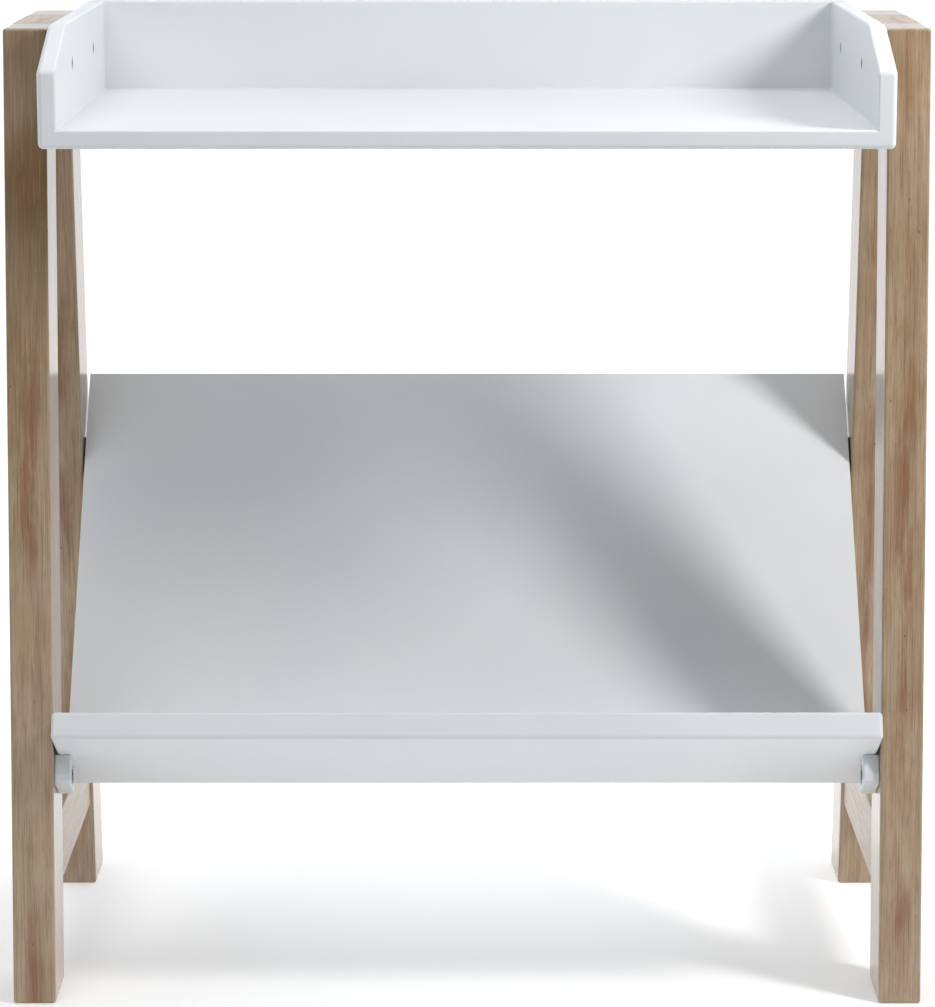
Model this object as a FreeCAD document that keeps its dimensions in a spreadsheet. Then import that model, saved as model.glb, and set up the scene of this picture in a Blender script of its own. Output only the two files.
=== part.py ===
import FreeCAD, Part
import math
import os

import Sketcher
from FreeCAD import Placement, Rotation, Vector

# A nursery changing table on two A-shaped wooden side frames.  A painted tray
# lies across their tops and a tilted, open-ended bin for books and toys hangs
# between their legs.
#
# Frame: +X to the right, +Y to the back, +Z up.  The origin is on the floor,
# under the centre of the bounding box.

# Driving dimensions, in millimetres and degrees.
SIZES = {
    # side frames
    "overall_width": 900,
    "footprint_depth": 484,
    "front_foot_place": 236,
    "leg_width": 42,
    "leg_depth": 80,
    "leg_height": 955,
    "leg_lean": 100,
    "leg_rounding": 3,
    "top_rail_height": 80,
    "stretcher_bottom": 95,
    "stretcher_height": 70,
    "stretcher_inset": 3,
    "rail_rounding": 1.5,
    # painted boards
    "board_thickness": 18,
    "board_rounding": 2,
    # tray
    "tray_gap": 2.5,
    "tray_depth": 490,
    "tray_front_place": 248,
    "tray_top": 960,
    "tray_floor_top": 867,
    "corner_run": 106,
    "corner_drop": 37,
    # bin
    "bin_length": 812,
    "bin_front_place": 248,
    "bin_front_height": 275,
    "shelf_thickness": 27,
    "shelf_depth": 176,
    "shelf_tilt": 30,
    "panel_setback": 149,
    "panel_height": 453,
    "panel_lean": 41.5,
    "bin_rounding": 3.5,
    # blocks that carry the bin
    "block_width": 16,
    "block_depth": 29,
    "block_length": 44,
    "block_nose": 9,
    "block_rounding": 1.5,
    "front_block_place": 60,
    "rear_block_place": 112,
    "recess_diameter": 20,
    "recess_depth": 8,
    # dowels
    "dowel_diameter": 10,
    "dowel_length": 40,
    "small_dowel_diameter": 8,
    "small_dowel_length": 30,
    "pin_diameter": 5,
    "pin_length": 24,
    "glue_space": 1,
    # bolts, inserts, spacers and screws
    "bolt_diameter": 6,
    "bolt_reach": 14,
    "tray_head_diameter": 12,
    "tray_head_height": 2.5,
    "tray_recess_diameter": 13,
    "tray_recess_depth": 3,
    "cap_head_diameter": 10,
    "cap_head_height": 6,
    "hex_width": 5,
    "hex_depth": 2,
    "insert_diameter": 10,
    "insert_length": 15,
    "spacer_diameter": 16,
    "washer_diameter": 18,
    "washer_thickness": 1.6,
    "screw_diameter": 5,
    "screw_length": 50,
    "screw_head_diameter": 9,
    "screw_head_height": 3,
}

# Heights of the dowels in the side frames, and of the tray's four bolts.
TOP_RAIL_DOWELS = (897, 931)
STRETCHER_DOWELS = (113, 147)
TRAY_BOLT_HEIGHT = 918
TRAY_BOLT_PLACES = (-90, 116)

# Places of the fixings along the tray's floor and back, and along the bin.
TRAY_SCREW_PLACES = (-190, -12, 150)
TRAY_DOWEL_PLACES = (-130, 60)
TRAY_BACK_DOWELS = (-330, -165, 0, 165, 330)
BIN_DOWEL_PLACES = (-360, -216, -72, 72, 216, 360)
PIN_SPACING = 32

ALONG_X = Vector(1, 0, 0)
ALONG_Y = Vector(0, 1, 0)
ALONG_Z = Vector(0, 0, 1)
SIDES = (("left", -1), ("right", 1))

TRAY_INNER_WIDTH = "#overall_width - 2 * (#leg_width + #tray_gap + #board_thickness)"

doc = FreeCAD.newDocument("changing_table")


def size(alias):
    """One driving dimension, as a number."""
    return float(SIZES[alias])


def make_sheet():
    """The spreadsheet that holds every driving dimension."""
    sheet = doc.addObject("Spreadsheet::Sheet", "Sizes")
    for row, (alias, value) in enumerate(SIZES.items(), start=1):
        sheet.set("A%d" % row, alias)
        sheet.set("B%d" % row, str(value))
        sheet.setAlias("B%d" % row, alias)
    doc.recompute()


def bound(formula):
    """A formula in which each #word stands for that cell of the sheet."""
    return formula.replace("#", "Sizes.")


# ---------------------------------------------------------------- builders

def outline_sketch(body, corners):
    """A closed outline in the body's YZ plane.  Corners are pairs of formulas."""
    sketch = body.newObject("Sketcher::SketchObject", body.Name + "_outline")
    plane = next(face for face in body.Origin.OriginFeatures if face.Role == "YZ_Plane")
    sketch.AttachmentSupport = (plane, [""])
    sketch.MapMode = "FlatFace"
    count = len(corners)
    turn = 2 * math.pi / count
    ring = [Vector(math.cos(turn * i), math.sin(turn * i), 0) for i in range(count)]
    for i in range(count):
        sketch.addGeometry(Part.LineSegment(ring[i], ring[(i + 1) % count]), False)
    for i in range(count):
        sketch.addConstraint(Sketcher.Constraint("Coincident", i, 2, (i + 1) % count, 1))
    for i, formulas in enumerate(corners):
        for kind, letter, start, formula in zip(("DistanceX", "DistanceY"), "yz", ring[i], formulas):
            index = sketch.addConstraint(Sketcher.Constraint(kind, -1, 1, i, 1, start))
            sketch.renameConstraint(index, "corner%d_%s" % (i, letter))
            sketch.setExpression("Constraints.corner%d_%s" % (i, letter), bound(formula))
    return sketch


def board(label, corners, width, placement, rounding=None):
    """A board: an outline in the YZ plane, padded to both sides along X."""
    body = doc.addObject("PartDesign::Body", label)
    sketch = outline_sketch(body, corners)
    pad = body.newObject("PartDesign::Pad", label + "_pad")
    pad.Profile = sketch
    pad.SideType = "Symmetric"
    pad.setExpression("Length", bound(width))
    doc.recompute()
    if rounding:
        fillet = body.newObject("PartDesign::Fillet", label + "_rounding")
        fillet.Base = (pad, [""])
        fillet.UseAllEdges = True
        fillet.setExpression("Radius", bound(rounding))
    body.Placement = placement
    doc.recompute()
    return body


def rod(name, diameter, length, start, direction):
    """A round rod or hole from a start point along a direction."""
    cylinder = doc.addObject("Part::Cylinder", name)
    cylinder.setExpression("Radius", bound("(" + diameter + ") / 2"))
    cylinder.setExpression("Height", bound(length))
    cylinder.Placement = Placement(start, Rotation(ALONG_Z, direction))
    return cylinder


def hexagon(name, start, direction):
    """The hexagonal socket of a bolt head."""
    prism = doc.addObject("Part::Prism", name)
    prism.Polygon = 6
    prism.setExpression("Circumradius", bound("#hex_width / sqrt(3)"))
    prism.setExpression("Height", bound("#hex_depth"))
    prism.Placement = Placement(start, Rotation(ALONG_Z, direction))
    return prism


def joined(name, pieces):
    """Touching primitives made into one solid."""
    fuse = doc.addObject("Part::MultiFuse", name)
    fuse.Shapes = pieces
    return fuse


def group(name, pieces):
    """Identical pieces that stay separate solids in one sub-part."""
    compound = doc.addObject("Part::Compound", name)
    compound.Links = pieces
    return compound


def cut(name, base, tool):
    """A base with a tool taken away."""
    result = doc.addObject("Part::Cut", name)
    result.Base = base
    result.Tool = tool
    return result


def drilled(label, blank, holes):
    """A blank with all of its holes taken away."""
    return cut(label, blank, group(label + "_holes", holes))


# ---------------------------------------------------------------- places

def lean_at(height):
    """How far a leg has leaned towards the middle at a height."""
    return size("leg_lean") * height / size("leg_height")


def front_leg_back(height):
    """Y of the front leg's back face at a height."""
    return -size("front_foot_place") + size("leg_depth") + lean_at(height)


def rear_leg_front(height):
    """Y of the rear leg's front face at a height."""
    rear_edge = size("footprint_depth") - size("front_foot_place")
    return rear_edge - size("leg_depth") - lean_at(height)


def leg_centre_x(side):
    """X of the middle of a side frame."""
    return side * (size("overall_width") - size("leg_width")) / 2


def leg_inner_x(side):
    """X of the inner face of a side frame's legs."""
    return side * (size("overall_width") / 2 - size("leg_width"))


def shelf_placement():
    """The bin shelf's own frame: +Y down its slope, +Z square to it."""
    start = Vector(0, -size("bin_front_place"), size("bin_front_height"))
    return Placement(start, Rotation(ALONG_X, -size("shelf_tilt")))


def panel_placement():
    """The bin back panel's own frame: +Z up its slope, origin at its front foot."""
    foot = Vector(0, size("panel_setback"), size("shelf_thickness"))
    return Placement(shelf_placement().multVec(foot), Rotation(ALONG_X, -size("panel_lean")))


def block_placement(side, place):
    """A bin block's own frame: +Y along it, +Z towards the board it carries."""
    middle = leg_inner_x(side) - side * size("block_width") / 2
    if place == "front":
        home = shelf_placement()
        corner = Vector(middle, size("front_block_place"), 0)
        return Placement(home.multVec(corner), home.Rotation)
    home = panel_placement()
    distance = size("panel_height") - size("rear_block_place")
    corner = Vector(middle, size("board_thickness"), distance)
    return Placement(home.multVec(corner), home.Rotation.multiply(Rotation(ALONG_X, 90)))


def frame_dowel_centres(side):
    """Centres of the dowels in one side frame, as (front joints, rear joints)."""
    x = leg_centre_x(side)
    heights = STRETCHER_DOWELS + TOP_RAIL_DOWELS
    front = [Vector(x, front_leg_back(height), height) for height in heights]
    rear = [Vector(x, rear_leg_front(height), height) for height in heights]
    return front, rear


def tray_bolt_points(side):
    """Points on a leg's inner face where the tray's bolts enter it, front and rear."""
    return [Vector(leg_inner_x(side), y, TRAY_BOLT_HEIGHT) for y in TRAY_BOLT_PLACES]


def tray_bolt_seat(side, point):
    """The floor of the recess in a tray side where the head of that bolt sits."""
    reach = size("board_thickness") + size("tray_gap") - size("tray_recess_depth")
    return point - ALONG_X * side * reach


def block_bolt_point(side, place):
    """The point on a leg's inner face where a block's bolt enters it."""
    outward = side * size("block_width") / 2
    centre = Vector(outward, size("block_length") / 2, -size("block_depth") / 2)
    return block_placement(side, place).multVec(centre)


def centred_rods(name, centres, direction, diameter, length):
    """Rods or holes whose middles are at the given points."""
    rods = []
    for i, centre in enumerate(centres, start=1):
        start = centre - direction * (length_of(length) / 2)
        rods.append(rod("%s_%d" % (name, i), diameter, length, start, direction))
    return rods


def length_of(formula):
    """The number that a sum of cells such as "#a + 2 * #b" stands for."""
    total = 0.0
    for term in formula.split("+"):
        factor, _, cell = term.strip().rpartition("#")
        factor = factor.strip().rstrip("*").strip()
        total += (float(factor) if factor else 1.0) * size(cell)
    return total


DOWEL = ("#dowel_diameter", "#dowel_length")
DOWEL_HOLE = ("#dowel_diameter", "#dowel_length + 2 * #glue_space")
SMALL_DOWEL = ("#small_dowel_diameter", "#small_dowel_length")
SMALL_DOWEL_HOLE = ("#small_dowel_diameter", "#small_dowel_length + 2 * #glue_space")
PIN = ("#pin_diameter", "#pin_length")
PIN_HOLE = ("#pin_diameter", "#pin_length + 2 * #glue_space")


# ---------------------------------------------------------------- side frames

def insert_hole(name, point, side):
    """The hole for one threaded insert, from a leg's inner face outwards."""
    return rod(name, "#insert_diameter", "#insert_length", point, ALONG_X * side)


def leg_blank(label, side, foot, lean):
    """A leaning leg.  Foot is a formula for its foot's front edge, lean is + or -."""
    corners = (
        (foot, "0 mm"),
        (foot + " + #leg_depth", "0 mm"),
        (foot + " + #leg_depth " + lean + " #leg_lean", "#leg_height"),
        (foot + " " + lean + " #leg_lean", "#leg_height"),
    )
    placement = Placement(Vector(leg_centre_x(side), 0, 0), Rotation())
    return board(label, corners, "#leg_width", placement, "#leg_rounding")


def make_legs(side_name, side):
    """The front and rear leg of one side, drilled for dowels and inserts."""
    front_dowels, rear_dowels = frame_dowel_centres(side)
    front_tray_point, rear_tray_point = tray_bolt_points(side)
    legs = (
        ("front", "-#front_foot_place", "+", front_dowels, front_tray_point),
        ("rear", "#footprint_depth - #front_foot_place - #leg_depth", "-", rear_dowels, rear_tray_point),
    )
    made = []
    for place, foot, lean, dowels, tray_point in legs:
        label = "%s_leg_%s" % (place, side_name)
        blank = leg_blank(label + "_blank", side, foot, lean)
        holes = centred_rods(label + "_dowel_hole", dowels, ALONG_Y, *DOWEL_HOLE)
        holes.append(insert_hole(label + "_tray_hole", tray_point, side))
        holes.append(insert_hole(label + "_bin_hole", block_bolt_point(side, place), side))
        made.append(drilled(label, blank, holes))
    return made


def make_rail(label, side, bottom, top, width, dowel_heights):
    """A rail between the legs of one side, cut to their lean and drilled."""
    front_face = "-#front_foot_place + #leg_depth + #leg_lean * (%s) / #leg_height"
    rear_face = "#footprint_depth - #front_foot_place - #leg_depth - #leg_lean * (%s) / #leg_height"
    corners = (
        (front_face % bottom, bottom),
        (rear_face % bottom, bottom),
        (rear_face % top, top),
        (front_face % top, top),
    )
    placement = Placement(Vector(leg_centre_x(side), 0, 0), Rotation())
    blank = board(label + "_blank", corners, width, placement, "#rail_rounding")
    x = leg_centre_x(side)
    centres = [Vector(x, front_leg_back(height), height) for height in dowel_heights]
    centres += [Vector(x, rear_leg_front(height), height) for height in dowel_heights]
    holes = centred_rods(label + "_dowel_hole", centres, ALONG_Y, *DOWEL_HOLE)
    return drilled(label, blank, holes)


def make_side_frame(side_name, side):
    """Two legs, the top rail that joins their heads and the stretcher near the floor."""
    made = make_legs(side_name, side)
    rail_bottom = "#leg_height - #top_rail_height"
    made.append(make_rail("top_rail_" + side_name, side, rail_bottom, "#leg_height",
                          "#leg_width", TOP_RAIL_DOWELS))
    stretcher_top = "#stretcher_bottom + #stretcher_height"
    made.append(make_rail("side_stretcher_" + side_name, side, "#stretcher_bottom", stretcher_top,
                          "#leg_width - 2 * #stretcher_inset", STRETCHER_DOWELS))
    return made


def make_frame_dowels():
    """The dowels that join the rails to the legs of both side frames."""
    centres = []
    for _, side in SIDES:
        front, rear = frame_dowel_centres(side)
        centres += front + rear
    return group("frame_dowels", centred_rods("frame_dowel", centres, ALONG_Y, *DOWEL))


# ---------------------------------------------------------------- tray

def tray_side_middle(side):
    """X of the middle of a tray side."""
    return leg_inner_x(side) - side * (size("tray_gap") + size("board_thickness") / 2)


def tray_joint_x(side):
    """X of the face where the tray's floor and back meet a side."""
    return tray_side_middle(side) - side * size("board_thickness") / 2


def tray_floor_middle():
    """Z of the middle of the tray's floor board."""
    return size("tray_floor_top") - size("board_thickness") / 2


def tray_back_middle():
    """Y of the middle of the tray's back board."""
    return -size("tray_front_place") + size("tray_depth") - size("board_thickness") / 2


def side_joint_points(side, floor_places, back_heights):
    """Points on a tray side's joint face, along the floor and up the back."""
    x = tray_joint_x(side)
    points = [Vector(x, y, tray_floor_middle()) for y in floor_places]
    return points + [Vector(x, tray_back_middle(), z) for z in back_heights]


def back_joint_points():
    """Points on the face where the tray's floor meets its back."""
    y = tray_back_middle() - size("board_thickness") / 2
    return [Vector(x, y, tray_floor_middle()) for x in TRAY_BACK_DOWELS]


def tray_screw_points(side):
    """Joint-face points of one side's tray screws."""
    upper = size("tray_top") - size("board_thickness")
    return side_joint_points(side, TRAY_SCREW_PLACES, (upper,))


def tray_dowel_points(side):
    """Joint-face points of one side's tray dowels."""
    middle = (size("tray_top") + size("tray_floor_top")) / 2
    return side_joint_points(side, TRAY_DOWEL_PLACES, (middle,))


def countersunk(name, point, side):
    """A countersunk screw, or its hole, through a tray side into a board's end."""
    head_start = point + ALONG_X * side * size("board_thickness")
    inward = ALONG_X * -side
    shank = rod(name + "_shank", "#screw_diameter", "#screw_length", head_start, inward)
    head = doc.addObject("Part::Cone", name + "_head")
    head.setExpression("Radius1", bound("#screw_head_diameter / 2"))
    head.setExpression("Radius2", bound("#screw_diameter / 2"))
    head.setExpression("Height", bound("#screw_head_height"))
    head.Placement = Placement(head_start, Rotation(ALONG_Z, inward))
    return joined(name, [shank, head])


def tray_screws(name, sides=SIDES):
    """Screws, or their holes, for the given sides of the tray."""
    screws = []
    for side_name, side in sides:
        for i, point in enumerate(tray_screw_points(side), start=1):
            screws.append(countersunk("%s_%s_%d" % (name, side_name, i), point, side))
    return screws


def tray_side_dowels(name, form, sides=SIDES):
    """Dowels, or their holes, for the given sides of the tray."""
    points = []
    for _, side in sides:
        points += tray_dowel_points(side)
    return centred_rods(name, points, ALONG_X, *form)


def tray_back_dowels(name, form):
    """Dowels, or their holes, between the tray's floor and back."""
    return centred_rods(name, back_joint_points(), ALONG_Y, *form)


def make_tray_side(side_name, side):
    """A tray side with a clipped front corner, drilled for bolts, screws and dowels."""
    label = "tray_side_" + side_name
    front = "-#tray_front_place"
    bottom = "#tray_floor_top - #board_thickness"
    corners = (
        (front, bottom),
        (front + " + #tray_depth", bottom),
        (front + " + #tray_depth", "#tray_top"),
        (front + " + #corner_run", "#tray_top"),
        (front, "#tray_top - #corner_drop"),
    )
    placement = Placement(Vector(tray_side_middle(side), 0, 0), Rotation())
    blank = board(label + "_blank", corners, "#board_thickness", placement, "#board_rounding")
    here = ((side_name, side),)
    holes = tray_screws(label + "_screw_hole", here)
    holes += tray_side_dowels(label + "_dowel_hole", SMALL_DOWEL_HOLE, here)
    for i, point in enumerate(tray_bolt_points(side), start=1):
        name = "%s_bolt_hole_%d" % (label, i)
        reach = "#board_thickness + #tray_gap"
        holes.append(rod(name, "#bolt_diameter", reach, point, ALONG_X * -side))
        floor = tray_bolt_seat(side, point)
        holes.append(rod(name + "_recess", "#tray_recess_diameter", "#tray_recess_depth",
                         floor, ALONG_X * -side))
    return drilled(label, blank, holes)


def make_tray_floor():
    """The tray's floor, between its sides and in front of its back."""
    front = "-#tray_front_place"
    back = front + " + #tray_depth - #board_thickness"
    bottom = "#tray_floor_top - #board_thickness"
    corners = ((front, bottom), (back, bottom), (back, "#tray_floor_top"), (front, "#tray_floor_top"))
    blank = board("tray_floor_blank", corners, TRAY_INNER_WIDTH, Placement())
    holes = tray_screws("tray_floor_screw_hole")
    holes += tray_side_dowels("tray_floor_dowel_hole", SMALL_DOWEL_HOLE)
    holes += tray_back_dowels("tray_floor_back_hole", SMALL_DOWEL_HOLE)
    return drilled("tray_floor", blank, holes)


def make_tray_back():
    """The tray's back board, between its sides."""
    back = "-#tray_front_place + #tray_depth"
    front = back + " - #board_thickness"
    bottom = "#tray_floor_top - #board_thickness"
    corners = ((front, bottom), (back, bottom), (back, "#tray_top"), (front, "#tray_top"))
    blank = board("tray_back_blank", corners, TRAY_INNER_WIDTH, Placement())
    holes = tray_screws("tray_back_screw_hole")
    holes += tray_side_dowels("tray_back_dowel_hole", SMALL_DOWEL_HOLE)
    holes += tray_back_dowels("tray_back_floor_hole", SMALL_DOWEL_HOLE)
    return drilled("tray_back", blank, holes)


def make_tray_fixings():
    """The tray's dowels and screws."""
    dowels = tray_side_dowels("tray_side_dowel", SMALL_DOWEL)
    dowels += tray_back_dowels("tray_back_dowel", SMALL_DOWEL)
    return [group("tray_dowels", dowels), group("tray_screws", tray_screws("tray_screw"))]


# ---------------------------------------------------------------- bin

def bin_joint_points():
    """Points on the shelf's top face, under the middle of the back panel."""
    slope = math.radians(size("panel_lean") - size("shelf_tilt"))
    middle = size("panel_setback") + size("board_thickness") / 2 / math.cos(slope)
    home = shelf_placement()
    return [home.multVec(Vector(x, middle, size("shelf_thickness"))) for x in BIN_DOWEL_PLACES]


def bin_dowels(name, form):
    """Dowels, or their holes, up the middle of the panel from the shelf."""
    direction = panel_placement().Rotation.multVec(ALONG_Z)
    return centred_rods(name, bin_joint_points(), direction, *form)


def pin_points(side, place):
    """Points on a block's top face where its two pins enter the board it carries."""
    home = block_placement(side, place)
    middle = size("block_length") / 2
    offsets = (-PIN_SPACING / 2, PIN_SPACING / 2)
    return [home.multVec(Vector(0, middle + offset, 0)) for offset in offsets]


def block_pins(name, side, place, form):
    """The two pins of a block, or their holes."""
    direction = block_placement(side, place).Rotation.multVec(ALONG_Z)
    return centred_rods(name, pin_points(side, place), direction, *form)


def make_bin_shelf():
    """The tilted board that the books and toys stand on."""
    corners = (
        ("0 mm", "0 mm"),
        ("#shelf_depth", "0 mm"),
        ("#shelf_depth", "#shelf_thickness"),
        ("0 mm", "#shelf_thickness"),
    )
    blank = board("bin_shelf_blank", corners, "#bin_length", shelf_placement(), "#bin_rounding")
    holes = bin_dowels("bin_shelf_dowel_hole", SMALL_DOWEL_HOLE)
    for side_name, side in SIDES:
        holes += block_pins("bin_shelf_pin_hole_" + side_name, side, "front", PIN_HOLE)
    return drilled("bin_shelf", blank, holes)


def make_bin_back_panel():
    """The leaning back of the bin, its foot cut to stand on the shelf."""
    rise = "#board_thickness * tan(#panel_lean * 1 deg - #shelf_tilt * 1 deg)"
    corners = (
        ("0 mm", "0 mm"),
        ("#board_thickness", rise),
        ("#board_thickness", "#panel_height"),
        ("0 mm", "#panel_height"),
    )
    blank = board("bin_back_panel_blank", corners, "#bin_length", panel_placement())
    holes = bin_dowels("bin_back_panel_dowel_hole", SMALL_DOWEL_HOLE)
    for side_name, side in SIDES:
        holes += block_pins("bin_back_panel_pin_hole_" + side_name, side, "rear", PIN_HOLE)
    return drilled("bin_back_panel", blank, holes)


def make_block(side_name, side, place):
    """A block that carries one corner of the bin, bolted to a leg's inner face."""
    label = "bin_%s_block_%s" % (place, side_name)
    corners = (
        ("0 mm", "0 mm"),
        ("0 mm", "#block_nose - #block_depth"),
        ("#block_nose * 0.3", "#block_nose * 0.3 - #block_depth"),
        ("#block_nose", "-#block_depth"),
        ("#block_length", "-#block_depth"),
        ("#block_length", "0 mm"),
    )
    blank = board(label + "_blank", corners, "#block_width", block_placement(side, place),
                  "#block_rounding")
    inward = ALONG_X * -side
    bolt_point = block_bolt_point(side, place)
    recess_floor = bolt_point + inward * (size("block_width") - size("recess_depth"))
    holes = block_pins(label + "_pin_hole", side, place, PIN_HOLE)
    holes.append(rod(label + "_bolt_hole", "#bolt_diameter", "#block_width", bolt_point, inward))
    holes.append(rod(label + "_recess", "#recess_diameter", "#recess_depth", recess_floor, inward))
    return drilled(label, blank, holes)


def make_bin_dowels():
    """The bin's dowels, and the smaller pins of its four blocks."""
    pins = []
    for place in ("front", "rear"):
        for side_name, side in SIDES:
            pins += block_pins("block_pin_%s_%s" % (place, side_name), side, place, PIN)
    return [group("bin_dowels", bin_dowels("bin_dowel", SMALL_DOWEL)), group("block_pins", pins)]


# ---------------------------------------------------------------- hardware

def bolt(name, seat, outward, head, grip):
    """A bolt with a hexagonal socket.  Seat is the point under its head."""
    head_diameter, head_height = head
    shank = rod(name + "_shank", "#bolt_diameter", grip, seat, outward)
    cap = rod(name + "_cap", head_diameter, head_height, seat, outward * -1)
    top = seat - outward * size(head_height.strip("#"))
    socket = hexagon(name + "_socket", top, outward)
    return cut(name, joined(name + "_solid", [shank, cap]), socket)


def ring(name, start, direction, diameter, length):
    """A disc or sleeve with a hole for a bolt, such as a spacer or an insert."""
    disc = rod(name + "_disc", diameter, length, start, direction)
    bore = rod(name + "_bore", "#bolt_diameter", length, start, direction)
    return cut(name, disc, bore)


def make_tray_hardware():
    """The tray's four bolts, the spacers behind its sides and the inserts in the legs."""
    bolts = []
    spacers = []
    inserts = []
    head = ("#tray_head_diameter", "#tray_head_height")
    grip = "#board_thickness - #tray_recess_depth + #tray_gap + #bolt_reach"
    for side_name, side in SIDES:
        outward = ALONG_X * side
        for i, point in enumerate(tray_bolt_points(side), start=1):
            tag = "%s_%d" % (side_name, i)
            seat = tray_bolt_seat(side, point)
            bolts.append(bolt("tray_bolt_" + tag, seat, outward, head, grip))
            spacers.append(ring("tray_spacer_" + tag, point, outward * -1,
                                "#spacer_diameter", "#tray_gap"))
            inserts.append(ring("tray_insert_" + tag, point, outward,
                                "#insert_diameter", "#insert_length"))
    return [group("tray_bolts", bolts), group("tray_spacers", spacers),
            group("tray_bolt_inserts", inserts)]


def make_block_hardware():
    """The four bolts of the bin's blocks, with their washers and inserts."""
    bolts = []
    washers = []
    inserts = []
    head = ("#cap_head_diameter", "#cap_head_height")
    grip = "#washer_thickness + #block_width - #recess_depth + #bolt_reach"
    for place in ("front", "rear"):
        for side_name, side in SIDES:
            tag = "%s_%s" % (place, side_name)
            outward = ALONG_X * side
            point = block_bolt_point(side, place)
            recess_floor = point - outward * (size("block_width") - size("recess_depth"))
            seat = recess_floor - outward * size("washer_thickness")
            bolts.append(bolt("block_bolt_" + tag, seat, outward, head, grip))
            washers.append(ring("block_washer_" + tag, seat, outward,
                                "#washer_diameter", "#washer_thickness"))
            inserts.append(ring("block_insert_" + tag, point, outward,
                                "#insert_diameter", "#insert_length"))
    return [group("block_bolts", bolts), group("block_washers", washers),
            group("block_bolt_inserts", inserts)]


# ---------------------------------------------------------------- assembly

def make_parts():
    """Every sub-part of the changing table, in the order they go together."""
    parts = []
    for side_name, side in SIDES:
        parts += make_side_frame(side_name, side)
    parts.append(make_frame_dowels())
    parts += [make_tray_floor(), make_tray_back()]
    parts += [make_tray_side(side_name, side) for side_name, side in SIDES]
    parts += make_tray_fixings()
    parts += [make_bin_shelf(), make_bin_back_panel()]
    for place in ("front", "rear"):
        parts += [make_block(side_name, side, place) for side_name, side in SIDES]
    parts += make_bin_dowels()
    parts += make_tray_hardware()
    parts += make_block_hardware()
    doc.recompute()
    return parts


def check_document(parts):
    """Stop if any object of the document failed or any sub-part isn't a sound solid."""
    for thing in doc.Objects:
        bad = [state for state in thing.State if state in ("Invalid", "Error")]
        if bad:
            raise RuntimeError("%s is in state %s" % (thing.Label, bad))
    for part in parts:
        if part.Shape.isNull() or not part.Shape.isValid() or not part.Shape.Solids:
            raise RuntimeError("%s has no sound shape" % part.Label)


def write_parts(parts):
    """One STEP file for each sub-part, named by its Label."""
    os.makedirs("parts", exist_ok=True)
    for part in parts:
        part.Shape.exportStep("parts/%s.step" % part.Label)


make_sheet()
all_parts = make_parts()
check_document(all_parts)
write_parts(all_parts)
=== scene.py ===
import math

import bmesh
import bpy
from mathutils import Matrix, Vector


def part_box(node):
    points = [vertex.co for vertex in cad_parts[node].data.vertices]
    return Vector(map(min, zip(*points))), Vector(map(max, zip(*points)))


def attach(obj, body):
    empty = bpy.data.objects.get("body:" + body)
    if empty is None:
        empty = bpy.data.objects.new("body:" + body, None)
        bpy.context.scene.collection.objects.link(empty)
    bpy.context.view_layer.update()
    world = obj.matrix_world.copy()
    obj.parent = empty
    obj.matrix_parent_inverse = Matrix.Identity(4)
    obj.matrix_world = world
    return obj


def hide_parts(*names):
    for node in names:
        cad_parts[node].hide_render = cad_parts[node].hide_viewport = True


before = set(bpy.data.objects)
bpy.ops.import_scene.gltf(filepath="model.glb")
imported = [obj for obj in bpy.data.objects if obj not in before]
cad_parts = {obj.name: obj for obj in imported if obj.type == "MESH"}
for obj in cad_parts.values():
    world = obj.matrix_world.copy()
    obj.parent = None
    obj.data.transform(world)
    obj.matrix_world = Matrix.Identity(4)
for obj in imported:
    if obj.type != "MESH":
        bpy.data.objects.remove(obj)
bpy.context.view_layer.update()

# ---------------------------------------------------------------- sizes, in metres

CAMERA_PLACE = (0.0005, -3.7151, 1.1961)
CAMERA_PITCH = math.radians(11.219)
CAMERA_LENS = 131.35

# The front legs lean back by this angle and the rear legs forward.
LEG_RUN = 0.100
LEG_RISE = 0.955
LEG_LEAN = math.atan2(LEG_RUN, LEG_RISE)
LEG_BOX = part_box("front_leg_right")
LEG_MIDDLE = (LEG_BOX[0].x + LEG_BOX[1].x) / 2

# Radii of the painted tray's edges: outer edges, inner edges and the paint in its corners.
TRAY_OUTER_RADIUS = 0.0052
TRAY_INNER_RADIUS = 0.0022
TRAY_CORNER_RADIUS = 0.0012

# The tray's boards, and how far its clipped front corners run back and drop.
TRAY_BOARDS = ("tray_floor", "tray_back", "tray_side_left", "tray_side_right")
TRAY_SIDE_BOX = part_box("tray_side_right")
BOARD = TRAY_SIDE_BOX[1].x - TRAY_SIDE_BOX[0].x
CORNER_RUN = 0.106
CORNER_DROP = 0.037

# The round recesses in the tray's sides, where its bolts sit.
BOLT_HEIGHT = 0.918
BOLT_PLACES = (-0.090, 0.116)
RECESS_RADIUS = 0.0065
RECESS_DEPTH = 0.003
RECESS_EASING = 0.0006

# How bright the room is: everywhere, and what its ceiling and its rear half add.
ROOM_LIGHT = 0.12
ROOM_OVERHEAD = 0.9
ROOM_BEHIND = 0.9

# How much the floor glows in front of the piece and from a step behind it, and its reach.
FLOOR_GLOW = 0.10
FLOOR_GLOW_FAR = 0.72
FLOOR_REACH = 60

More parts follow.
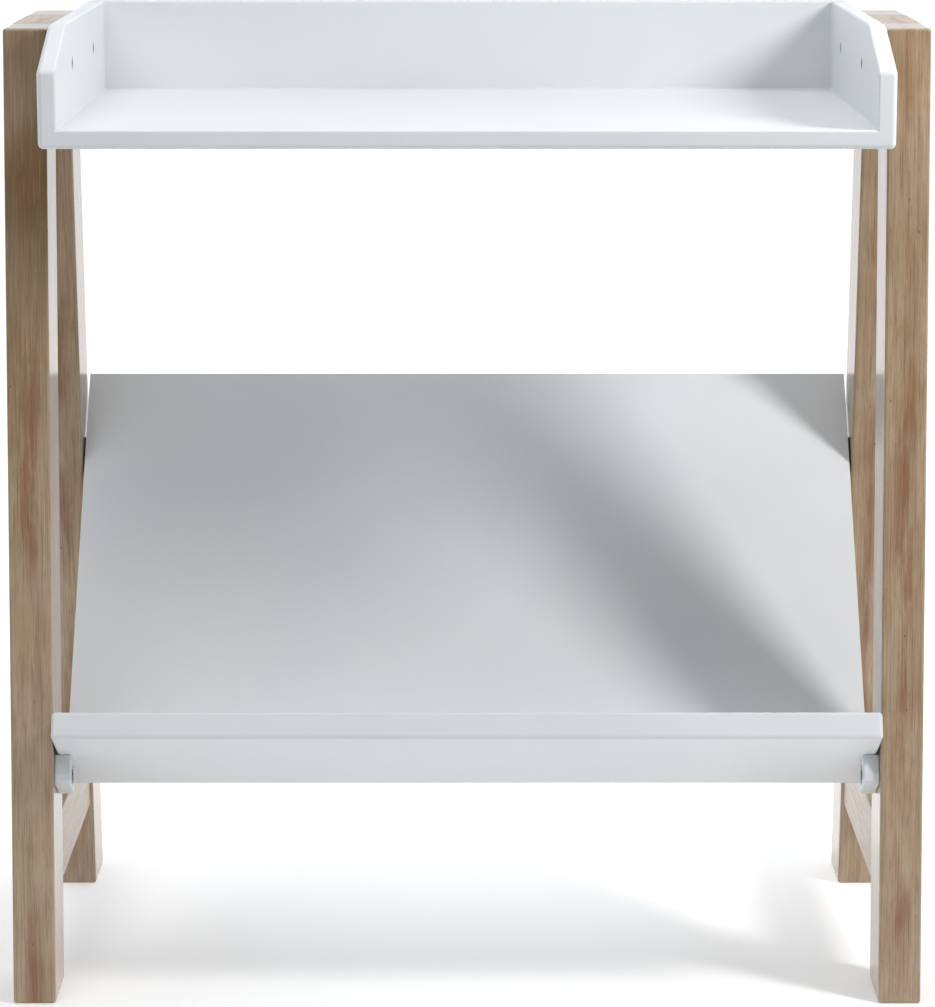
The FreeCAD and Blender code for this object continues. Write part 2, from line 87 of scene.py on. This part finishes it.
# The colours of the tinted wood, as base colours.
WOOD = {
    "sapwood_dark": (0.400, 0.285, 0.165),
    "sapwood_pale": (0.490, 0.365, 0.245),
    "heartwood": (0.275, 0.128, 0.062),
    "bleached": (0.540, 0.420, 0.310),
    "shadowed": (0.250, 0.148, 0.062),
    "silvered": (0.540, 0.418, 0.315),
    # darkened_head: the colour at the head of a leg, painted shade on the left front leg.
    "darkened_head": (0.150, 0.082, 0.022),
    "fibre_dark": (0.185, 0.105, 0.048),
    "fibre_pale": (0.570, 0.430, 0.290),
    "pore": (0.125, 0.066, 0.030),
    "pin": (0.050, 0.028, 0.018),
    # edge_highlight: lighter wood along the edges, a painted highlight, partly rubbed tint.
    "edge_highlight": (0.520, 0.420, 0.330),
}

# The lights aim at the middle of the piece.
LIGHT_AIM = Vector((0, 0, 0.6))


# ---------------------------------------------------------------- material helpers

def new_material(name):
    """A material with its node tree and its Principled shader."""
    material = bpy.data.materials.new(name)
    material.use_nodes = True
    tree = material.node_tree
    return material, tree, tree.nodes["Principled BSDF"]


def value_into(tree, socket, value):
    """Sets a socket from a number, a vector or another socket."""
    if isinstance(value, bpy.types.NodeSocket):
        tree.links.new(value, socket)
    else:
        socket.default_value = value


def math_node(tree, operation, *values):
    """The result of a sum, product or other operation on numbers and sockets."""
    node = tree.nodes.new("ShaderNodeMath")
    node.operation = operation
    for socket, value in zip(node.inputs, values):
        value_into(tree, socket, value)
    return node.outputs[0]


def remap(tree, value, low, high, to_low=0.0, to_high=1.0):
    """Scales a value from one range to another, and clamps it."""
    node = tree.nodes.new("ShaderNodeMapRange")
    value_into(tree, node.inputs["Value"], value)
    node.inputs["From Min"].default_value = low
    node.inputs["From Max"].default_value = high
    node.inputs["To Min"].default_value = to_low
    node.inputs["To Max"].default_value = to_high
    return node.outputs["Result"]


def mix(tree, factor, first, second):
    """Mixes two colours."""
    node = tree.nodes.new("ShaderNodeMix")
    node.data_type = "RGBA"
    value_into(tree, node.inputs["Factor"], factor)
    for socket, colour in ((node.inputs["A"], first), (node.inputs["B"], second)):
        if isinstance(colour, tuple):
            colour = (*colour, 1)
        value_into(tree, socket, colour)
    return node.outputs["Result"]


def object_space(tree, rotation=(0, 0, 0)):
    """The piece's own coordinates, in metres, turned by an angle."""
    coordinates = tree.nodes.new("ShaderNodeTexCoord")
    turned = tree.nodes.new("ShaderNodeMapping")
    turned.inputs["Rotation"].default_value = rotation
    tree.links.new(coordinates.outputs["Object"], turned.inputs["Vector"])
    return turned.outputs["Vector"]


def split(tree, vector):
    """The X, Y and Z outputs of a vector."""
    node = tree.nodes.new("ShaderNodeSeparateXYZ")
    tree.links.new(vector, node.inputs["Vector"])
    return node.outputs


def stretched(tree, vector, scale, offset=(0, 0, 0)):
    """Coordinates scaled by a different amount along each axis."""
    node = tree.nodes.new("ShaderNodeMapping")
    node.inputs["Scale"].default_value = scale
    node.inputs["Location"].default_value = offset
    tree.links.new(vector, node.inputs["Vector"])
    return node.outputs["Vector"]


def noise(tree, vector, scale=1.0, detail=3.0, roughness=0.5, distortion=0.0):
    """Smooth noise between 0 and 1."""
    node = tree.nodes.new("ShaderNodeTexNoise")
    tree.links.new(vector, node.inputs["Vector"])
    node.inputs["Scale"].default_value = scale
    node.inputs["Detail"].default_value = detail
    node.inputs["Roughness"].default_value = roughness
    node.inputs["Distortion"].default_value = distortion
    return node.outputs["Fac"]


def spots(tree, vector, scale, low, high):
    """Small round spots, 1 inside and 0 outside."""
    node = tree.nodes.new("ShaderNodeTexVoronoi")
    tree.links.new(vector, node.inputs["Vector"])
    node.inputs["Scale"].default_value = scale
    return remap(tree, node.outputs["Distance"], low, high, 1.0, 0.0)


def edge_mask(tree, radius):
    """1 on the convex and concave edges of a piece, 0 on its flat faces."""
    bevel = tree.nodes.new("ShaderNodeBevel")
    bevel.samples = 4
    bevel.inputs["Radius"].default_value = radius
    geometry = tree.nodes.new("ShaderNodeNewGeometry")
    product = tree.nodes.new("ShaderNodeVectorMath")
    product.operation = "DOT_PRODUCT"
    tree.links.new(bevel.outputs["Normal"], product.inputs[0])
    tree.links.new(geometry.outputs["True Normal"], product.inputs[1])
    turn = math_node(tree, "SUBTRACT", 1.0, product.outputs["Value"])
    return remap(tree, turn, 0.015, 0.25)


def bump(tree, height, strength, distance):
    """The shading normal for a height."""
    node = tree.nodes.new("ShaderNodeBump")
    node.inputs["Strength"].default_value = strength
    node.inputs["Distance"].default_value = distance
    tree.links.new(height, node.inputs["Height"])
    return node.outputs["Normal"]


# ---------------------------------------------------------------- materials

def stained_wood(name, turn, head_darkening, lacquer=0.85):
    """Brown-grey tinted hardwood, satin, with its grain along local Z after the turn.

    The wood darkens towards the head of a leg, up to head_darkening, which on the left front leg
    is painted shade from the tray.  Reddish heartwood runs up the middle of each board.
    """
    material, tree, shader = new_material(name)
    space = object_space(tree, (turn, 0, 0))

    fibres = noise(tree, stretched(tree, space, (1050, 1050, 17)), 1, 3, 0.6)
    pores = noise(tree, stretched(tree, space, (1500, 1500, 48)), 1, 2, 0.5)
    bands = noise(tree, stretched(tree, space, (110, 110, 2.6)), 1, 4, 0.6, 0.1)
    heart = noise(tree, stretched(tree, space, (38, 38, 6), (3.1, 0.4, 2.0)), 1, 4, 0.6, 0.3)
    patches = noise(tree, stretched(tree, space, (36, 36, 12)), 1, 5, 0.65, 0.4)
    clouds = noise(tree, stretched(tree, space, (11, 11, 5)), 1, 3, 0.5)
    place = split(tree, space)
    aside = math_node(tree, "SUBTRACT", math_node(tree, "ABSOLUTE", place["X"]), LEG_MIDDLE)
    aside = math_node(tree, "ADD", aside, remap(tree, bands, 0.3, 0.7, -0.004, 0.004))
    core = remap(tree, math_node(tree, "ABSOLUTE", aside), 0.002, 0.013, 1.0, 0.22)
    core = math_node(tree, "MULTIPLY", core, remap(tree, heart, 0.40, 0.57, 0.0, 0.95))
    # Darker towards the head of a leg; on the left front leg this paints the shade of the tray.
    darkening = remap(tree, place["Z"], 0.52, 0.80, 0.0, head_darkening)
    darkening = math_node(tree, "MULTIPLY", darkening, remap(tree, clouds, 0.35, 0.65, 1.20, 0.60))

    colour = mix(tree, remap(tree, bands, 0.34, 0.66), WOOD["sapwood_dark"], WOOD["sapwood_pale"])
    colour = mix(tree, core, colour, WOOD["heartwood"])
    colour = mix(tree, remap(tree, patches, 0.50, 0.72, 0.0, 0.50), colour, WOOD["bleached"])
    colour = mix(tree, remap(tree, patches, 0.28, 0.46, 0.45, 0.0), colour, WOOD["shadowed"])
    colour = mix(tree, remap(tree, clouds, 0.52, 0.70, 0.0, 0.35), colour, WOOD["silvered"])
    colour = mix(tree, darkening, colour, WOOD["darkened_head"])
    colour = mix(tree, remap(tree, fibres, 0.30, 0.50, 0.58, 0.0), colour, WOOD["fibre_dark"])
    colour = mix(tree, remap(tree, fibres, 0.54, 0.74, 0.0, 0.36), colour, WOOD["fibre_pale"])
    colour = mix(tree, remap(tree, pores, 0.30, 0.43, 0.42, 0.0), colour, WOOD["pore"])

    pins = spots(tree, stretched(tree, space, (1, 1, 0.55)), 60, 0.028, 0.055)
    colour = mix(tree, math_node(tree, "MULTIPLY", pins, 0.75), colour, WOOD["pin"])

    # Lighter along the edges: a painted highlight on the rounded edges, partly the tint rubbed
    # thin.
    edge_band = edge_mask(tree, 0.0028)
    edge_highlight = math_node(tree, "MULTIPLY", edge_band, remap(tree, patches, 0.35, 0.65, 0.10, 0.45))
    colour = mix(tree, edge_highlight, colour, WOOD["edge_highlight"])
    tree.links.new(colour, shader.inputs["Base Color"])

    rough = remap(tree, fibres, 0.3, 0.7, 0.50, 0.34)
    rough = math_node(tree, "ADD", rough, remap(tree, patches, 0.3, 0.7, -0.03, 0.05))
    tree.links.new(rough, shader.inputs["Roughness"])
    shader.inputs["IOR"].default_value = 1.42
    shader.inputs["Coat Weight"].default_value = lacquer
    shader.inputs["Coat Roughness"].default_value = 0.18

    relief = math_node(tree, "ADD", math_node(tree, "MULTIPLY", fibres, 0.7),
                       math_node(tree, "MULTIPLY", pores, 0.5))
    relief = math_node(tree, "SUBTRACT", relief, pins)
    tree.links.new(bump(tree, relief, 0.35, 0.0004), shader.inputs["Normal"])
    return material


def white_paint(name):
    """Cool white satin lacquer over board, sprayed: faint orange peel, and a painted highlight
    along the edges.
    """
    material, tree, shader = new_material(name)
    space = object_space(tree)
    clouds = noise(tree, stretched(tree, space, (7, 7, 7)), 1, 4, 0.55)
    peel = noise(tree, space, 420, 3, 0.55)
    grit = noise(tree, space, 1500, 2, 0.5)
    specks = spots(tree, space, 95, 0.012, 0.035)

    colour = mix(tree, remap(tree, clouds, 0.3, 0.7), (0.735, 0.762, 0.786), (0.768, 0.790, 0.808))
    colour = mix(tree, math_node(tree, "MULTIPLY", specks, 0.25), colour, (0.56, 0.57, 0.57))
    # Lighter and creamier along the edges: a painted highlight on the rounded edges.
    edge_band = edge_mask(tree, 0.0022)
    edge_highlight = math_node(tree, "MULTIPLY", edge_band, remap(tree, clouds, 0.35, 0.65, 0.15, 0.60))
    colour = mix(tree, edge_highlight, colour, (0.840, 0.832, 0.805))
    tree.links.new(colour, shader.inputs["Base Color"])

    rough = remap(tree, clouds, 0.3, 0.7, 0.36, 0.44)
    rough = math_node(tree, "ADD", rough, remap(tree, grit, 0.3, 0.7, -0.02, 0.03))
    tree.links.new(rough, shader.inputs["Roughness"])
    shader.inputs["IOR"].default_value = 1.48

    relief = math_node(tree, "ADD", peel, math_node(tree, "MULTIPLY", grit, 0.25))
    tree.links.new(bump(tree, relief, 0.12, 0.0003), shader.inputs["Normal"])
    return material


def plated_metal(name, bright, dark, roughness):
    """Plated steel, turned: fine rings of scratches, and darker stains at random."""
    material, tree, shader = new_material(name)
    space = object_space(tree)
    stains = noise(tree, space, 240, 4, 0.6)
    scratches = noise(tree, stretched(tree, space, (300, 2600, 2600)), 1, 3, 0.6)
    colour = mix(tree, remap(tree, stains, 0.35, 0.65), dark, bright)
    edge_band = edge_mask(tree, 0.0005)
    colour = mix(tree, math_node(tree, "MULTIPLY", edge_band, 0.5), colour, (0.72, 0.71, 0.69))
    tree.links.new(colour, shader.inputs["Base Color"])
    rough = remap(tree, scratches, 0.3, 0.7, roughness - 0.08, roughness + 0.12)
    tree.links.new(rough, shader.inputs["Roughness"])
    shader.inputs["Metallic"].default_value = 1.0
    tree.links.new(bump(tree, scratches, 0.2, 0.00008), shader.inputs["Normal"])
    return material


def beech(name):
    """Pale turned dowel wood, with short darker flecks along it."""
    material, tree, shader = new_material(name)
    space = object_space(tree)
    grain = noise(tree, stretched(tree, space, (70, 900, 900)), 1, 3, 0.6)
    flecks = noise(tree, stretched(tree, space, (260, 1400, 1400)), 1, 2, 0.5)
    colour = mix(tree, remap(tree, grain, 0.3, 0.7), (0.50, 0.35, 0.21), (0.66, 0.50, 0.33))
    colour = mix(tree, remap(tree, flecks, 0.30, 0.42, 0.5, 0.0), colour, (0.34, 0.21, 0.12))
    tree.links.new(colour, shader.inputs["Base Color"])
    tree.links.new(remap(tree, grain, 0.3, 0.7, 0.70, 0.55), shader.inputs["Roughness"])
    tree.links.new(bump(tree, grain, 0.3, 0.0002), shader.inputs["Normal"])
    return material


def nylon(name):
    """Moulded off-white nylon, slightly cloudy."""
    material, tree, shader = new_material(name)
    space = object_space(tree)
    clouds = noise(tree, space, 180, 4, 0.6)
    grit = noise(tree, space, 2200, 2, 0.5)
    colour = mix(tree, remap(tree, clouds, 0.3, 0.7), (0.62, 0.62, 0.60), (0.74, 0.74, 0.72))
    tree.links.new(colour, shader.inputs["Base Color"])
    tree.links.new(remap(tree, clouds, 0.3, 0.7, 0.38, 0.52), shader.inputs["Roughness"])
    tree.links.new(bump(tree, grit, 0.2, 0.0001), shader.inputs["Normal"])
    return material


def make_materials():
    """Every material of the piece, by the name that finish_of() uses."""
    return {
        # The left front leg gets its own copy of the wood, far darker at the head: painted shade
        # from the tray.
        "left_front_leg_painted_shade": stained_wood("wood_left_front_leg_painted_shade", LEG_LEAN, 0.90),
        "right_front_leg": stained_wood("wood_right_front_leg", LEG_LEAN, 0.25),
        "rear_leg": stained_wood("wood_rear_leg", -LEG_LEAN, 0.30),
        "rail": stained_wood("wood_rail", math.radians(90), 0.0, 0.35),
        "paint": white_paint("white_paint"),
        "bright": plated_metal("bright_steel", (0.62, 0.62, 0.61), (0.42, 0.42, 0.41), 0.30),
        "dark": plated_metal("dark_steel", (0.16, 0.16, 0.165), (0.07, 0.07, 0.073), 0.36),
        "dowel": beech("dowel_wood"),
        "plastic": nylon("spacer_nylon"),
    }


FINISHES = (
    ("front_leg_left", "left_front_leg_painted_shade"),
    ("front_leg_right", "right_front_leg"),
    ("rear_leg", "rear_leg"),
    ("top_rail", "rail"),
    ("side_stretcher", "rail"),
    ("tray_floor", "paint"),
    ("tray_back", "paint"),
    ("tray_side", "paint"),
    ("bin_shelf", "paint"),
    ("bin_back_panel", "paint"),
    ("bin_front_block", "paint"),
    ("bin_rear_block", "paint"),
    ("frame_dowels", "dowel"),
    ("tray_dowels", "dowel"),
    ("bin_dowels", "dowel"),
    ("tray_spacers", "plastic"),
    ("block_pins", "bright"),
    ("tray_screws", "bright"),
    ("tray_bolts", "dark"),
    ("block_bolts", "dark"),
    ("block_washers", "bright"),
    ("tray_bolt_inserts", "bright"),
    ("block_bolt_inserts", "bright"),
)


def finish_of(name):
    """The key of the material that a CAD node wears."""
    for start, finish in FINISHES:
        if name.startswith(start):
            return finish
    raise ValueError("no finish for " + name)


def dress_nodes(materials):
    """Gives every CAD node its material."""
    for name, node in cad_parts.items():
        node.data.materials.clear()
        node.data.materials.append(materials[finish_of(name)])


# ---------------------------------------------------------------- tray

def rectangle(half, low, high):
    """The corners of a rectangle that reaches half to each side of the middle."""
    return ((-half, low), (half, low), (half, high), (-half, high))


def tray_faces(half, front, rear, bottom, top, floor):
    """The faces of the tray as one shell: a floor, a back and two sides with clipped corners."""
    inner = half - BOARD
    back = rear - BOARD
    corner = front + CORNER_RUN
    step = top - CORNER_DROP
    outline = ((front, bottom), (rear, bottom), (rear, top), (corner, top), (front, step))
    hollow = ((front, floor), (back, floor), (back, top), (corner, top), (front, step))
    faces = []
    for side in (-1, 1):
        faces.append([(side * half, y, z) for y, z in outline])
        faces.append([(side * inner, y, z) for y, z in hollow])
        faces.append([(side * x, y, z) for x, y, z in (
            (inner, front, step), (half, front, step), (half, corner, top), (inner, corner, top))])
    faces.append([(x, y, bottom) for x, y in rectangle(half, front, rear)])
    faces.append([(x, rear, z) for x, z in rectangle(half, bottom, top)])
    faces.append([(x, y, floor) for x, y in rectangle(inner, front, back)])
    faces.append([(x, back, z) for x, z in rectangle(inner, floor, top)])
    faces.append([(x, front, z) for x, z in (
        (-half, bottom), (half, bottom), (half, step), (inner, step),
        (inner, floor), (-inner, floor), (-inner, step), (-half, step))])
    faces.append([(x, y, top) for x, y in (
        (-half, corner), (-inner, corner), (-inner, back), (inner, back),
        (inner, corner), (half, corner), (half, rear), (-half, rear))])
    return faces


def mesh_from_faces(name, faces):
    """A closed mesh from faces that share corners."""
    mesh = bpy.data.meshes.new(name)
    shape = bmesh.new()
    for face in faces:
        shape.faces.new([shape.verts.new(corner) for corner in face])
    bmesh.ops.remove_doubles(shape, verts=shape.verts, dist=1e-6)
    bmesh.ops.recalc_face_normals(shape, faces=shape.faces)
    shape.to_mesh(mesh)
    shape.free()
    return mesh


def weigh_tray_edges(mesh, half, floor):
    """Marks how round each edge of the tray is: outer edges most, painted-in corners least."""
    shape = bmesh.new()
    shape.from_mesh(mesh)
    weight = shape.edges.layers.float.new("bevel_weight_edge")
    inner = half - BOARD
    for edge in shape.edges:
        middle = (edge.verts[0].co + edge.verts[1].co) / 2
        if not edge.is_convex:
            radius = TRAY_CORNER_RADIUS
        elif abs(middle.x) < inner + 1e-5 and middle.z > floor - 1e-5:
            radius = TRAY_INNER_RADIUS
        else:
            radius = TRAY_OUTER_RADIUS
        edge[weight] = radius / TRAY_OUTER_RADIUS
    shape.to_mesh(mesh)
    shape.free()


def lathe(name, profile, steps=40):
    """A turned solid about the X axis from its (along, radius) profile, closed at both ends."""
    mesh = bpy.data.meshes.new(name)
    shape = bmesh.new()
    line = [shape.verts.new((along, radius, 0)) for along, radius in profile]
    edges = [shape.edges.new(pair) for pair in zip(line, line[1:])]
    bmesh.ops.spin(shape, geom=line + edges, cent=(0, 0, 0), axis=(1, 0, 0),
                   angle=math.tau, steps=steps, use_merge=True)
    bmesh.ops.remove_doubles(shape, verts=shape.verts, dist=1e-7)
    bmesh.ops.recalc_face_normals(shape, faces=shape.faces)
    shape.to_mesh(mesh)
    shape.free()
    return mesh


def add_object(name, mesh):
    """An object for a mesh, in the scene."""
    piece = bpy.data.objects.new(name, mesh)
    bpy.context.collection.objects.link(piece)
    return piece


def apply_modifiers(piece):
    """Replaces a piece's mesh by the one its modifiers give."""
    graph = bpy.context.evaluated_depsgraph_get()
    mesh = bpy.data.meshes.new_from_object(piece.evaluated_get(graph))
    piece.modifiers.clear()
    piece.data = mesh


def bolt_centres(inner):
    """The middle of each recess mouth, with the side it is on."""
    return [(side, Vector((side * inner, y, BOLT_HEIGHT))) for side in (-1, 1) for y in BOLT_PLACES]


def recess_cutter(side, centre):
    """A turned cutter for one bolt recess, with a slightly wider mouth."""
    mouth = RECESS_RADIUS + RECESS_EASING
    profile = ((-0.004, 0), (-0.004, mouth), (-0.0001, mouth), (RECESS_EASING, RECESS_RADIUS),
               (RECESS_DEPTH, RECESS_RADIUS), (RECESS_DEPTH, 0))
    cutter = add_object("cutter", lathe("cutter", profile))
    facing = Matrix.Rotation(math.radians(90 - 90 * side), 4, "Z")
    cutter.matrix_world = Matrix.Translation(centre) @ facing
    return cutter


def smooth_by_angle(piece, angle=math.radians(40)):
    """Smooth shading, but crisp where two faces meet sharply, weighted by face area."""
    mesh = piece.data
    mesh.polygons.foreach_set("use_smooth", [True] * len(mesh.polygons))
    mesh.set_sharp_from_angle(angle=angle)
    weighted = piece.modifiers.new("weighted", "WEIGHTED_NORMAL")
    weighted.keep_sharp = True
    weighted.weight = 90


def make_tray(materials):
    """The painted tray: four boards under one coat of paint, so no joint shows."""
    low, high = TRAY_SIDE_BOX
    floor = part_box("tray_floor")[1].z
    half = high.x
    mesh = mesh_from_faces("tray_shell", tray_faces(half, low.y, high.y, low.z, high.z, floor))
    weigh_tray_edges(mesh, half, floor)
    tray = add_object("tray_shell", mesh)

    rounding = tray.modifiers.new("rounding", "BEVEL")
    rounding.limit_method = "WEIGHT"
    rounding.width = TRAY_OUTER_RADIUS
    rounding.segments = 5

    cutters = [recess_cutter(side, centre) for side, centre in bolt_centres(half - BOARD)]
    for cutter in cutters:
        drill = tray.modifiers.new("drill", "BOOLEAN")
        drill.object = cutter
        drill.solver = "EXACT"
    apply_modifiers(tray)
    for cutter in cutters:
        bpy.data.objects.remove(cutter)

    smooth_by_angle(tray)
    tray.data.materials.clear()
    tray.data.materials.append(materials["paint"])
    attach(tray, "root")
    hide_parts(*TRAY_BOARDS)


# ---------------------------------------------------------------- studio

def make_camera():
    """The camera, in front of the piece and looking slightly down on it."""
    data = bpy.data.cameras.new("camera")
    data.lens = CAMERA_LENS
    data.sensor_width = 36
    camera = bpy.data.objects.new("camera", data)
    camera.location = CAMERA_PLACE
    camera.rotation_euler = (math.radians(90) - CAMERA_PITCH, 0, 0)
    bpy.context.collection.objects.link(camera)
    bpy.context.scene.camera = camera


def make_floor():
    """A pale floor out to the horizon, glowing as painted light: faintly in front of the piece,
    more behind it.
    """
    material, tree, shader = new_material("studio_floor")
    shader.inputs["Base Color"].default_value = (0.9, 0.9, 0.9, 1)
    shader.inputs["Roughness"].default_value = 0.9
    shader.inputs["Emission Color"].default_value = (1, 1, 1, 1)
    # The glow is painted light, rising from FLOOR_GLOW in front of the piece to FLOOR_GLOW_FAR
    # behind it.
    glow = remap(tree, split(tree, object_space(tree))["Y"], -0.45, 1.0, FLOOR_GLOW, FLOOR_GLOW_FAR)
    tree.links.new(glow, shader.inputs["Emission Strength"])
    corners = ((-1, -1), (1, -1), (1, 1), (-1, 1))
    mesh = mesh_from_faces("floor", [[(x * FLOOR_REACH, y * FLOOR_REACH, 0) for x, y in corners]])
    mesh.materials.append(material)
    floor = add_object("floor", mesh)


def make_light(name, azimuth, elevation, distance, spread, power, colour):
    """A soft oval light aimed at the middle of the piece.

    Azimuth 0 is in front of the piece, and 90 is on its right as seen from there.
    """
    turn = math.radians(azimuth)
    rise = math.radians(elevation)
    level = math.cos(rise)
    towards = Vector((math.sin(turn) * level, -math.cos(turn) * level, math.sin(rise)))
    data = bpy.data.lights.new(name, "AREA")
    data.shape = "ELLIPSE"
    data.size, data.size_y = spread
    data.energy = power
    data.color = colour
    light = bpy.data.objects.new(name, data)
    light.location = LIGHT_AIM + towards * distance
    light.rotation_euler = (-towards).to_track_quat("-Z", "Y").to_euler()
    bpy.context.collection.objects.link(light)


def make_world():
    """A pale bluish room: dim in front, bright overhead and behind the piece."""
    world = bpy.data.worlds.new("studio")
    world.use_nodes = True
    tree = world.node_tree
    coordinates = tree.nodes.new("ShaderNodeTexCoord")
    direction = split(tree, coordinates.outputs["Generated"])
    overhead = remap(tree, direction["Z"], 0.85, 0.95, 0.0, ROOM_OVERHEAD)
    behind = remap(tree, direction["Y"], -0.10, 0.30, 0.0, ROOM_BEHIND)
    below_ceiling = remap(tree, direction["Z"], 0.45, 0.70, 1.0, 0.0)
    behind = math_node(tree, "MULTIPLY", behind, below_ceiling)
    strength = math_node(tree, "ADD", overhead, behind)
    strength = math_node(tree, "ADD", strength, ROOM_LIGHT)
    back = tree.nodes["Background"]
    back.inputs["Color"].default_value = (0.95, 0.985, 1.03, 1)
    tree.links.new(strength, back.inputs["Strength"])
    bpy.context.scene.world = world


make_camera()
make_floor()
make_world()
make_light("key", 61, 35, 2.1, (0.34, 0.70), 26, (1, 0.985, 0.96))
make_light("front_fill", -18, 34, 2.2, (1.4, 1.4), 5, (1, 0.99, 0.98))
make_light("left_box", -52, 58, 2.4, (1.4, 1.4), 12, (0.98, 0.99, 1))
make_light("rear_box", 180, 70, 2.4, (1.8, 1.8), 13, (0.97, 0.985, 1))
bpy.context.scene.view_settings.view_transform = "Standard"

materials = make_materials()
dress_nodes(materials)
make_tray(materials)
